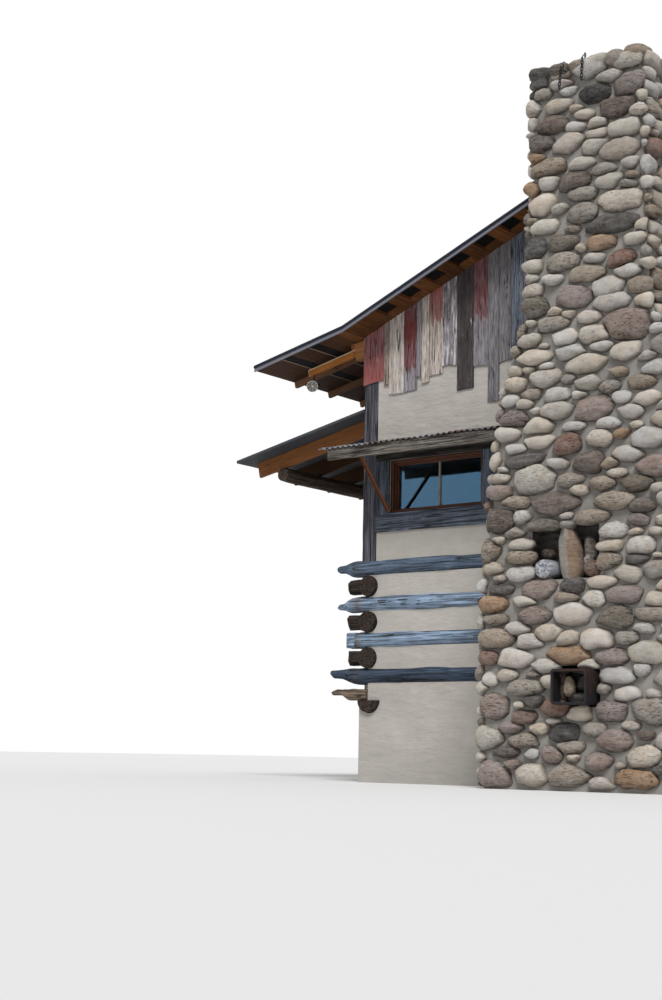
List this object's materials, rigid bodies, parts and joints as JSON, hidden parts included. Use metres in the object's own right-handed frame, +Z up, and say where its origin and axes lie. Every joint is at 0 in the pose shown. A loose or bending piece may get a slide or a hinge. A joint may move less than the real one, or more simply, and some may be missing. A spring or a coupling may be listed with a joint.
{
  "type": "log cabin",
  "caption": "Gabled log cabin of round grey logs and cream stucco, with a battered river-stone chimney, weathered gable boards, window awnings and lean-to porches.",
  "frame": {"origin": "on the ground, in the middle of the plan's bounding box", "axes": "+Z up, -Y towards the chimney gable, +X to the right seen from the chimney gable"},
  "size_m": [9.782, 8.235, 6.62],
  "materials": {
    "stucco": "cream lime stucco, trowelled and weathered",
    "floor_boards": "plain floor boards",
    "grey_log": "peeled log weathered blue-grey",
    "brown_log": "dark brown weathered log",
    "post_timber": "sawn timber weathered grey",
    "rafter_timber": "oiled orange-brown rafter timber",
    "soffit_boards": "orange-brown soffit boards",
    "roof_steel": "dark ribbed roofing steel",
    "trim_steel": "grey-blue steel drip edge",
    "river_stone": "rounded river stones in grey-beige mortar",
    "black_steel": "blackened steel",
    "brown_frame": "rust-brown window frame",
    "window_glass": "clear window glass",
    "awning_steel": "corrugated steel, dull and rusty at the edge",
    "fascia_timber": "rough grey-brown plank",
    "rusty_steel": "rusty steel angle",
    "barn_boards": "reclaimed boards, grey with old red paint",
    "door_boards": "vertical door planks",
    "lamp": "clear-faced floodlight with silvered back"
  },
  "bodies": {
    "root": {"awning_fascias": "fascia_timber", "awning_joists": "fascia_timber", "awning_sheets": "awning_steel", "awning_struts": "rusty_steel", "back_boards": "barn_boards", "chimney": "river_stone", "cleanout_frame": "black_steel", "corner_blocks": "brown_log", "corner_posts": "post_timber", "door": "door_boards", "door_frame": "post_timber", "eave_blocks": "rafter_timber", "eave_decks": "soffit_boards", "eave_rafters": "rafter_timber", "eave_sheets": "roof_steel", "floodlight": "lamp", "floor": "floor_boards", "foundation": "stucco", "front_boards": "barn_boards", "gable_chinking": "stucco", "gable_end_rafters": "rafter_timber", "gable_logs": "grey_log", "gable_walls": "stucco", "lower_walls": "stucco", "niche_log": "grey_log", "niche_stone": "river_stone", "porch_beams": "brown_log", "porch_ledgers": "rafter_timber", "porch_posts": "brown_log", "porch_rafters": "rafter_timber", "porch_sheets": "roof_steel", "rafters": "rafter_timber", "rake_soffits": "soffit_boards", "rake_trims": "trim_steel", "ridge_beam": "rafter_timber", "ridge_cap": "roof_steel", "roof_deck": "soffit_boards", "roof_sheets": "roof_steel", "side_chinking": "stucco", "side_logs": "brown_log", "side_sills": "brown_log", "side_walls": "stucco", "wall_plates": "rafter_timber", "window_boards": "post_timber", "window_frames": "brown_frame", "window_glass": "window_glass", "window_piers": "stucco"}
  },
  "joints": []
}
